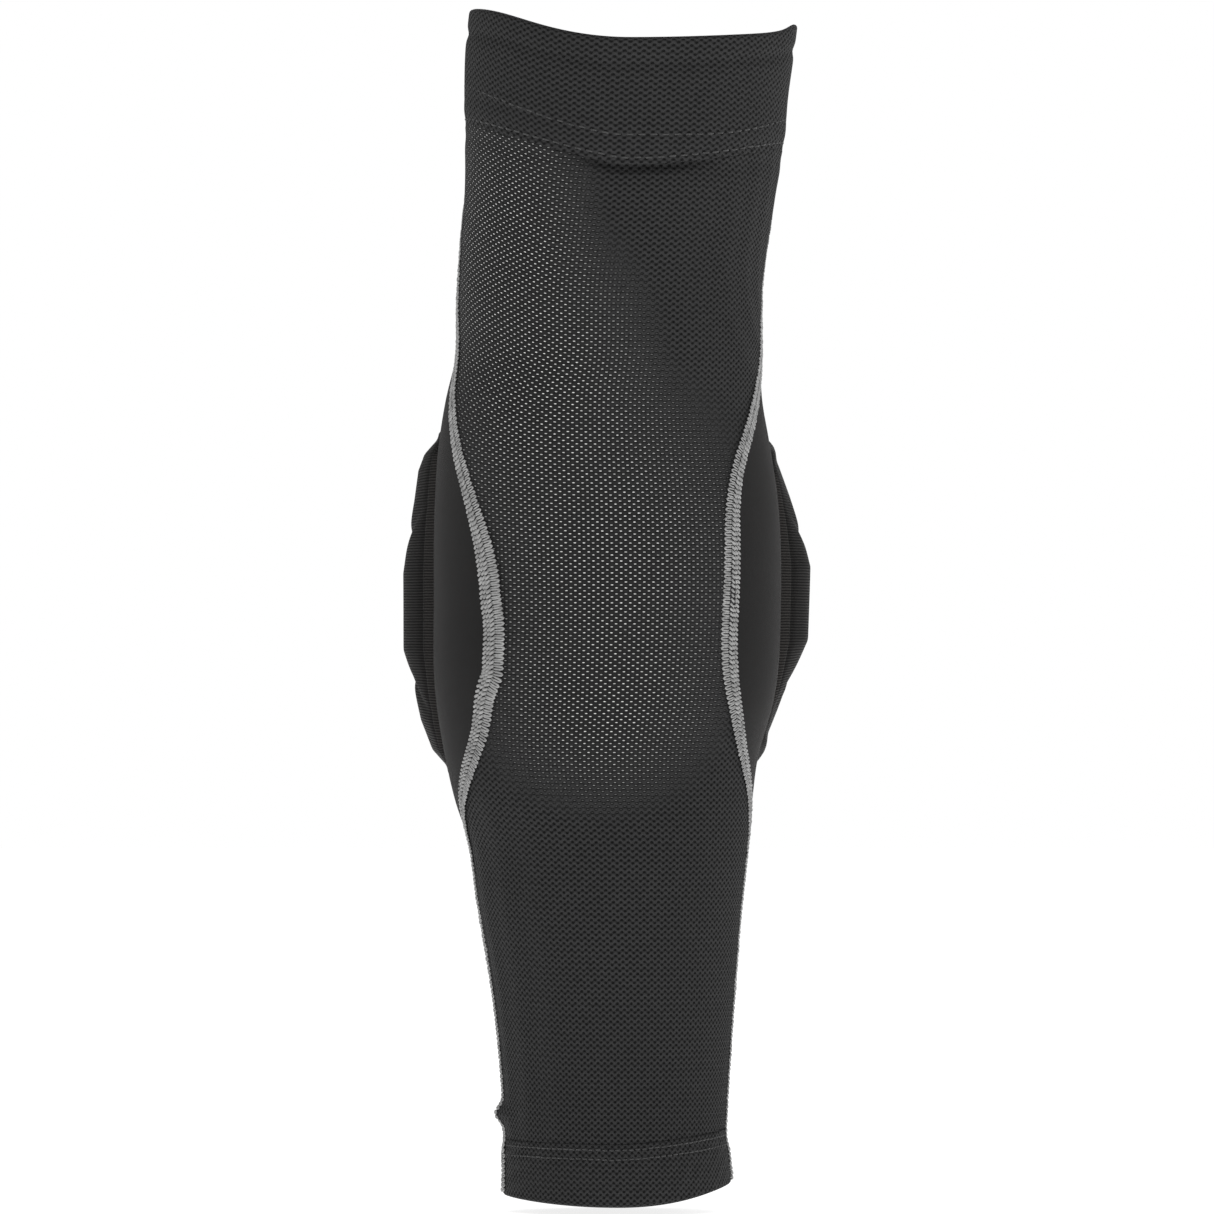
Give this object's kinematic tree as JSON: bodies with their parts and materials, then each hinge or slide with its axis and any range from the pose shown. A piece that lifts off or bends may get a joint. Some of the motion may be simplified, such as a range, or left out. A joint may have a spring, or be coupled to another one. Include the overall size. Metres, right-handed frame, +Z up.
{
  "type": "padded elbow sleeve",
  "caption": "Compression arm sleeve in black mesh and stretch jersey with grey flatlock seams, doubled cuffs and a lobed foam pad over the point of the elbow.",
  "frame": {"origin": "centre of the lower cuff's grip band, on the forearm's axis; the middle of the elbow is 166 mm above it", "axes": "+Z up the arm towards the shoulder, -Y the inner elbow, +Y the padded point of the elbow, +X the wearer-side edge on the right as seen from the inner elbow"},
  "size_m": [0.1207, 0.114, 0.359],
  "materials": {
    "mesh_knit": "matte",
    "jersey": "matte",
    "seam_thread": "matte",
    "hem_fabric": "matte",
    "hem_thread": "matte",
    "elastic": "matte",
    "silicone": "satin",
    "liner": "matte",
    "foam": "matte",
    "ribbed_cover": "satin",
    "pad_thread": "matte"
  },
  "bodies": {
    "upper_arm": {"mesh_panel_upper": "mesh_knit", "back_panel_upper": "jersey", "left_seam_upper": "seam_thread", "right_seam_upper": "seam_thread", "mesh_panel_elbow": "mesh_knit", "side_gusset_left": "jersey", "side_gusset_right": "jersey", "left_seam_elbow": "seam_thread", "right_seam_elbow": "seam_thread", "upper_hem_facing": "hem_fabric", "upper_hem_elastic": "elastic", "upper_hem_stitches": "hem_thread", "upper_grip_band": "silicone", "upper_pad_liner": "liner", "upper_pad_foam": "foam", "upper_pad_cover": "ribbed_cover", "upper_pad_stitches": "pad_thread"},
    "elbow_cup": {"back_panel_elbow": "jersey", "elbow_cup_liner": "liner", "elbow_cup_foam": "foam", "elbow_cup_cover": "ribbed_cover", "elbow_cup_stitches": "pad_thread"},
    "forearm": {"mesh_panel_forearm": "mesh_knit", "back_panel_forearm": "jersey", "left_seam_forearm": "seam_thread", "right_seam_forearm": "seam_thread", "lower_hem_facing": "hem_fabric", "lower_hem_elastic": "elastic", "lower_hem_stitches": "hem_thread", "lower_grip_band": "silicone", "lower_pad_liner": "liner", "lower_pad_foam": "foam", "lower_pad_cover": "ribbed_cover", "lower_pad_stitches": "pad_thread"}
  },
  "joints": [
    {"name": "elbow_flex", "type": "hinge", "parent": "upper_arm", "child": "forearm", "pos_m": [-0.0027, -0.006, 0.166], "axis": [-1, 0, 0], "range_deg": [0, 120], "deforming": ["mesh_panel_elbow", "side_gusset_left", "side_gusset_right", "left_seam_elbow", "right_seam_elbow"]},
    {"name": "cup_follow", "type": "hinge", "parent": "upper_arm", "child": "elbow_cup", "pos_m": [-0.0027, -0.006, 0.166], "axis": [-1, 0, 0], "range_deg": [0, 60]}
  ],
  "couplings": [
    {"joint": "cup_follow", "follows": "elbow_flex", "ratio": 0.5}
  ]
}
